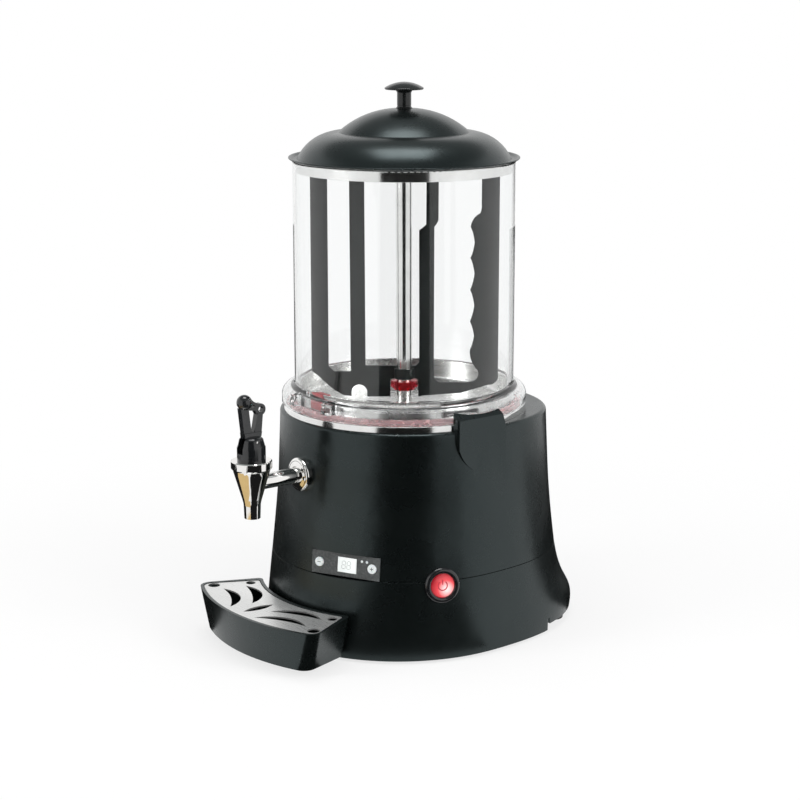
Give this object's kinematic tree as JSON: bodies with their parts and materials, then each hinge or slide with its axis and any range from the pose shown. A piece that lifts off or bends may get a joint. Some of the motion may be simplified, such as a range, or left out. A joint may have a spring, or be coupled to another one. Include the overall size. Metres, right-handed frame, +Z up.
{
  "type": "hot chocolate dispenser",
  "caption": "Countertop hot chocolate dispenser: clear lift-off bowl over a heated pan, turning paddle, domed lid, front lever tap, drip tray and control panel.",
  "frame": {"origin": "on the table under the middle of the footprint", "axes": "+Z up, -Y towards the user (tap side), +X to the user's right"},
  "size_m": [0.2921, 0.4108, 0.58],
  "materials": {
    "black_plastic": "satin moulded black with a faint grain",
    "black_knob": "smooth black",
    "dark_plate": "matt black",
    "clear_bowl": "clear polycarbonate, polished",
    "red_silicone": "soft translucent red silicone",
    "grey_seal": "soft grey silicone",
    "polished_steel": "polished stainless steel",
    "tank_steel": "drawn stainless steel",
    "brushed_grate": "brushed stainless sheet",
    "chrome": "bright chrome plate",
    "tap_black": "glossy black",
    "valve_steel": "bright steel wire and rod",
    "paddle_plastic": "dark grey moulded",
    "white_acetal": "natural white",
    "gearbox_grey": "grey glass-filled moulding",
    "motor_metal": "zinc-plated can",
    "screw_steel": "zinc-plated",
    "foot_rubber": "matt black rubber",
    "panel_grey": "fine grey",
    "display_glass": "backlit display lens",
    "indicator": "diffusing lens",
    "circuit_green": "lacquered board",
    "button_white": "smooth white cap",
    "switch_black": "gloss black",
    "switch_red": "translucent red, lit from behind"
  },
  "bodies": {
    "base": {"upper_housing": "black_plastic", "lower_housing": "black_plastic", "bottom_plate": "dark_plate", "housing_screws": "screw_steel", "foot_front_left": "foot_rubber", "foot_front_right": "foot_rubber", "foot_rear_left": "foot_rubber", "foot_rear_right": "foot_rubber", "trim_ring": "polished_steel", "bowl_gasket": "red_silicone", "heating_pan": "polished_steel", "water_tank": "tank_steel", "tank_seal": "grey_seal", "heating_element": "tank_steel", "temperature_probe": "tank_steel", "thermal_cutout": "motor_metal", "mixer_column": "polished_steel", "column_seal": "red_silicone", "column_bushes": "white_acetal", "shaft_bearing": "white_acetal", "outlet_plug": "red_silicone", "outlet_pipe": "white_acetal", "tap_body": "chrome", "tap_spout": "chrome", "tap_flange": "chrome", "tap_nut": "chrome", "tap_bonnet": "tap_black", "tap_pin": "chrome", "tap_spring": "valve_steel", "gearbox_housing": "gearbox_grey", "gearbox_cover": "gearbox_grey", "motor": "motor_metal", "motor_bracket": "tank_steel", "control_faceplate": "panel_grey", "display_window": "display_glass", "status_lights": "indicator", "control_board": "circuit_green", "power_switch_bezel": "switch_black", "power_switch_block": "switch_black", "power_inlet": "switch_black", "inlet_pins": "tank_steel"},
    "bowl": {"bowl": "clear_bowl"},
    "lid": {"lid": "black_plastic", "lid_band": "polished_steel", "lid_knob": "black_knob", "lid_knob_screw": "screw_steel"},
    "mixer": {"drive_shaft": "polished_steel", "output_gear": "white_acetal", "drive_cap": "paddle_plastic", "paddle": "paddle_plastic"},
    "motor_drive": {"motor_pinion": "motor_metal"},
    "tap_lever": {"tap_handle": "tap_black"},
    "tap_valve": {"tap_plunger": "valve_steel", "tap_seat_cup": "grey_seal"},
    "tray": {"drip_tray": "black_plastic"},
    "grate": {"drip_grate": "brushed_grate"},
    "minus_key": {"minus_button": "button_white"},
    "plus_key": {"plus_button": "button_white"},
    "power_key": {"power_switch_cap": "switch_red"}
  },
  "joints": [
    {"name": "bowl_lift", "type": "slide", "parent": "base", "child": "bowl", "axis": [0, 0, 1], "range_m": [0, 0.27]},
    {"name": "lid_lift", "type": "slide", "parent": "bowl", "child": "lid", "axis": [0, 0, 1], "range_m": [0, 0.12]},
    {"name": "mixer_spin", "type": "hinge", "parent": "base", "child": "mixer", "pos_m": [0, 0.017, 0.3], "axis": [0, 0, 1], "continuous": true},
    {"name": "motor_spin", "type": "hinge", "parent": "base", "child": "motor_drive", "pos_m": [0, 0.0545, 0.08], "axis": [0, 0, 1], "continuous": true},
    {"name": "tap_lever_tilt", "type": "hinge", "parent": "base", "child": "tap_lever", "pos_m": [0, -0.179, 0.229], "axis": [1, 0, 0], "range_deg": [0, 40], "stiffness_Nm_per_rad": 0.05, "springref_deg": -14.32},
    {"name": "tap_valve_lift", "type": "slide", "parent": "base", "child": "tap_valve", "axis": [0, 0, 1], "range_m": [0, 0.0041], "deforming": ["tap_spring"]},
    {"name": "tray_slide", "type": "slide", "parent": "base", "child": "tray", "axis": [0, -1, 0], "range_m": [0, 0.1]},
    {"name": "grate_lift", "type": "slide", "parent": "tray", "child": "grate", "axis": [0, 0, 1], "range_m": [0, 0.05]},
    {"name": "minus_press", "type": "slide", "parent": "base", "child": "minus_key", "axis": [-0.436, 0.8939, -0.1045], "range_m": [0, 0.0008], "stiffness_N_per_m": 300, "springref_m": -0.0005},
    {"name": "plus_press", "type": "slide", "parent": "base", "child": "plus_key", "axis": [-0.436, 0.8939, -0.1045], "range_m": [0, 0.0008], "stiffness_N_per_m": 300, "springref_m": -0.0005},
    {"name": "power_press", "type": "slide", "parent": "base", "child": "power_key", "axis": [-0.9237, 0.3732, -0.0872], "range_m": [0, 0.0025], "stiffness_N_per_m": 250, "springref_m": -0.001}
  ],
  "couplings": [
    {"joint": "motor_spin", "follows": "mixer_spin", "ratio": -4},
    {"joint": "tap_valve_lift", "follows": "tap_lever_tilt", "m_per_rad": 0.00573}
  ]
}
